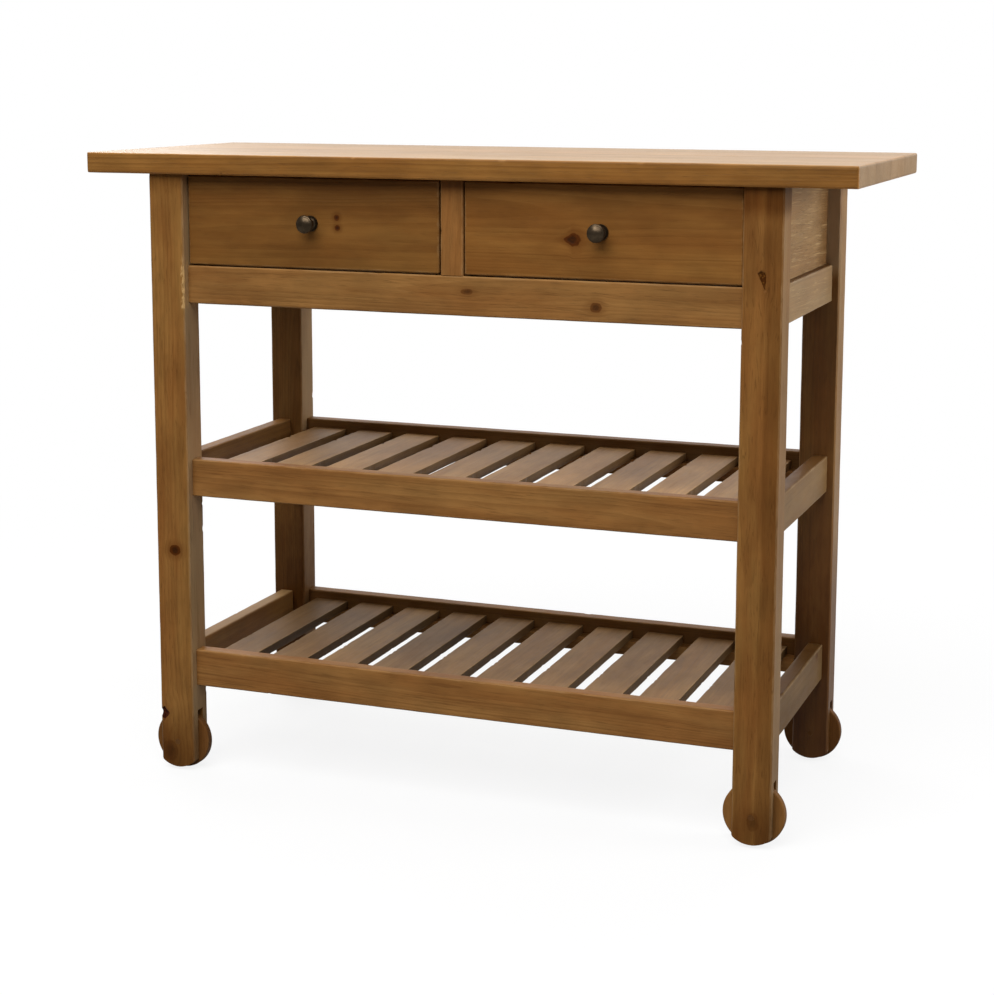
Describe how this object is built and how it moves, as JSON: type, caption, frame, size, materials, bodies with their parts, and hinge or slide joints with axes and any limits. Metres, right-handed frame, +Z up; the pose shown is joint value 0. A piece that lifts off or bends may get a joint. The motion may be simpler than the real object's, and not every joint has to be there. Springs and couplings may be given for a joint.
{
  "type": "rolling serving table",
  "caption": "Pine serving table with a long plank top, drawers under it, slatted shelves and disc wheels set in slots in its square legs.",
  "frame": {"origin": "centre of the table's plan, on the floor under the wheels", "axes": "+X along the table to the right of someone facing the drawers, -Y towards that person, +Z up"},
  "size_m": [1.1, 0.442, 0.9],
  "materials": {
    "top_pine": "waxed",
    "leg_pine": "waxed",
    "rail_pine": "waxed",
    "drawer_pine": "waxed",
    "slat_pine": "waxed",
    "inner_pine": "raw",
    "wheel_wood": "waxed",
    "plug_wood": "stained",
    "pewter": "aged pewter",
    "steel": "plain"
  },
  "bodies": {
    "frame": {"table_top": "top_pine", "leg_front_left": "leg_pine", "leg_front_right": "leg_pine", "leg_back_left": "leg_pine", "leg_back_right": "leg_pine", "front_rail": "rail_pine", "back_rail": "rail_pine", "left_rail": "rail_pine", "right_rail": "rail_pine", "centre_stile": "rail_pine", "back_panel": "rail_pine", "left_panel": "rail_pine", "right_panel": "rail_pine", "left_runner": "inner_pine", "right_runner": "inner_pine", "centre_runner": "inner_pine", "left_kicker": "inner_pine", "right_kicker": "inner_pine", "centre_kicker": "inner_pine", "drawer_stops": "inner_pine", "top_screws": "steel", "mid_front_rail": "rail_pine", "mid_back_rail": "rail_pine", "mid_left_rail": "rail_pine", "mid_right_rail": "rail_pine", "mid_slats": "slat_pine", "mid_cleats": "rail_pine", "low_front_rail": "rail_pine", "low_back_rail": "rail_pine", "low_left_rail": "rail_pine", "low_right_rail": "rail_pine", "low_slats": "slat_pine", "low_cleats": "rail_pine", "axle_front_left": "steel", "axle_front_right": "steel", "axle_back_left": "steel", "axle_back_right": "steel", "axle_plugs": "plug_wood", "axle_washers": "steel"},
    "drawer_left": {"drawer_left_front": "drawer_pine", "drawer_left_outer_side": "inner_pine", "drawer_left_inner_side": "inner_pine", "drawer_left_back": "inner_pine", "drawer_left_bottom": "inner_pine", "drawer_left_knob": "pewter", "drawer_left_screw": "steel"},
    "drawer_right": {"drawer_right_front": "drawer_pine", "drawer_right_outer_side": "inner_pine", "drawer_right_inner_side": "inner_pine", "drawer_right_back": "inner_pine", "drawer_right_bottom": "inner_pine", "drawer_right_knob": "pewter", "drawer_right_screw": "steel"},
    "wheel_front_left": {"wheel_front_left": "wheel_wood"},
    "wheel_front_right": {"wheel_front_right": "wheel_wood"},
    "wheel_back_left": {"wheel_back_left": "wheel_wood"},
    "wheel_back_right": {"wheel_back_right": "wheel_wood"}
  },
  "joints": [
    {"name": "drawer_left_slide", "type": "slide", "parent": "frame", "child": "drawer_left", "axis": [0, -1, 0], "range_m": [0, 0.27]},
    {"name": "drawer_right_slide", "type": "slide", "parent": "frame", "child": "drawer_right", "axis": [0, -1, 0], "range_m": [0, 0.27]},
    {"name": "wheel_front_left_spin", "type": "hinge", "parent": "frame", "child": "wheel_front_left", "pos_m": [-0.4285, -0.1875, 0.0425], "axis": [0, 1, 0], "continuous": true},
    {"name": "wheel_front_right_spin", "type": "hinge", "parent": "frame", "child": "wheel_front_right", "pos_m": [0.4285, -0.1875, 0.0425], "axis": [0, 1, 0], "continuous": true},
    {"name": "wheel_back_left_spin", "type": "hinge", "parent": "frame", "child": "wheel_back_left", "pos_m": [-0.4285, 0.1815, 0.0425], "axis": [0, 1, 0], "continuous": true},
    {"name": "wheel_back_right_spin", "type": "hinge", "parent": "frame", "child": "wheel_back_right", "pos_m": [0.4285, 0.1815, 0.0425], "axis": [0, 1, 0], "continuous": true}
  ]
}
